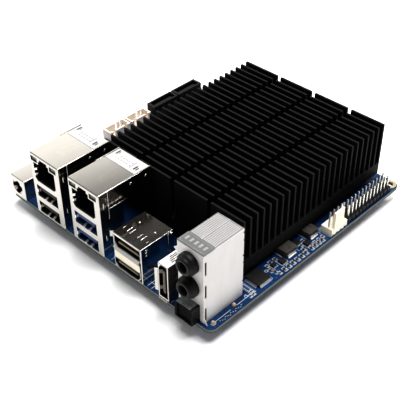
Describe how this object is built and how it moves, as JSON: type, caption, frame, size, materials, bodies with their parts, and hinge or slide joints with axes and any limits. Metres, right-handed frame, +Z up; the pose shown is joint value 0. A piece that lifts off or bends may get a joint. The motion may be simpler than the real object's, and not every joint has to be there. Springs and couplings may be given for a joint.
{
  "type": "single board computer",
  "caption": "Compact square computer board with a finned heat sink, stacked network, USB, display and audio sockets on one edge, and pin headers for drives, a fan and expansion.",
  "frame": {"origin": "centre of the board's underside", "axes": "+Z up through the heat sink, +X along the socket edge to the right seen from the front, -Y the way the sockets face"},
  "size_m": [0.12, 0.1235, 0.0403],
  "materials": {
    "solder_mask": "satin blue solder mask over glass fibre",
    "black_anodised": "black anodised",
    "zinc_steel": "zinc plated",
    "substrate": "matte green laminate",
    "silicon": "polished",
    "thermal_pad": "matte grey",
    "tin_shield": "tin plated sheet",
    "nickel_shield": "nickel plated sheet",
    "black_plastic": "moulded",
    "blue_plastic": "moulded",
    "cream_plastic": "moulded",
    "light_pipe": "smoked clear",
    "gold_contact": "gold flash",
    "label_paper": "coated paper",
    "grey_cap": "moulded",
    "clear_lens": "clear",
    "tin_pin": "tin plated",
    "ferrite": "pressed powder",
    "chip_epoxy": "moulded epoxy",
    "capacitor_ceramic": "fired",
    "spring_steel": "stamped",
    "brass_standoff": "turned",
    "button_plastic": "moulded"
  },
  "bodies": {
    "board": {"circuit_board": "solder_mask", "heat_sink": "black_anodised", "heat_sink_screws": "zinc_steel", "processor_substrate": "substrate", "processor_die": "silicon", "thermal_pad": "thermal_pad", "left_stack_shield": "tin_shield", "left_stack_body": "black_plastic", "left_stack_lights": "light_pipe", "left_stack_contacts": "gold_contact", "left_stack_usb_contacts": "gold_contact", "right_stack_shield": "tin_shield", "right_stack_body": "black_plastic", "right_stack_lights": "light_pipe", "right_stack_contacts": "gold_contact", "right_stack_usb_contacts": "gold_contact", "left_stack_usb_inserts": "black_plastic", "right_stack_usb_inserts": "blue_plastic", "stack_labels": "label_paper", "display_stack_shield": "nickel_shield", "display_stack_body": "black_plastic", "display_stack_contacts": "gold_contact", "upright_display_shield": "nickel_shield", "upright_display_body": "black_plastic", "upright_display_contacts": "gold_contact", "audio_shield": "tin_shield", "audio_body": "black_plastic", "audio_jack_barrels": "black_plastic", "audio_cap": "grey_cap", "audio_jack_contacts": "gold_contact", "optical_housing": "black_plastic", "optical_lens": "clear_lens", "power_inlet_shield": "tin_shield", "power_inlet_body": "black_plastic", "power_inlet_pin": "gold_contact", "power_inlet_spring": "gold_contact", "drive_data_sockets": "black_plastic", "drive_data_contacts": "gold_contact", "drive_power_headers": "cream_plastic", "drive_power_pins": "tin_pin", "fan_header": "cream_plastic", "fan_header_pins": "tin_pin", "expansion_header_base": "black_plastic", "expansion_header_pins": "tin_pin", "power_inductors": "ferrite", "inductor_terminals": "tin_pin", "audio_chip": "chip_epoxy", "audio_chip_leads": "tin_pin", "small_chips": "chip_epoxy", "chip_capacitors": "capacitor_ceramic", "chip_resistors": "chip_epoxy", "memory_socket": "black_plastic", "card_socket": "black_plastic", "card_standoff": "brass_standoff", "button_housings": "black_plastic"},
    "optical_shutter": {"optical_shutter": "black_plastic"},
    "power_button": {"power_button": "button_plastic"},
    "reset_button": {"reset_button": "button_plastic"},
    "memory_latch_left": {"memory_latch_left": "spring_steel"},
    "memory_latch_right": {"memory_latch_right": "spring_steel"}
  },
  "joints": [
    {"name": "optical_shutter_hinge", "type": "hinge", "parent": "board", "child": "optical_shutter", "pos_m": [0.0488, -0.0618, 0.0084], "axis": [1, 0, 0], "range_deg": [0, 78], "stiffness_Nm_per_rad": 0.0006},
    {"name": "power_button_press", "type": "slide", "parent": "board", "child": "power_button", "axis": [0, -1, 0], "range_m": [0, 0.00025], "stiffness_N_per_m": 6000},
    {"name": "reset_button_press", "type": "slide", "parent": "board", "child": "reset_button", "axis": [0, -1, 0], "range_m": [0, 0.00025], "stiffness_N_per_m": 6000},
    {"name": "memory_latch_left_swing", "type": "hinge", "parent": "board", "child": "memory_latch_left", "pos_m": [-0.036, -0.0075, -0.0033], "axis": [0, 0, 1], "range_deg": [0, 8], "stiffness_Nm_per_rad": 0.05},
    {"name": "memory_latch_right_swing", "type": "hinge", "parent": "board", "child": "memory_latch_right", "pos_m": [0.036, -0.0075, -0.0033], "axis": [0, 0, -1], "range_deg": [0, 8], "stiffness_Nm_per_rad": 0.05}
  ]
}
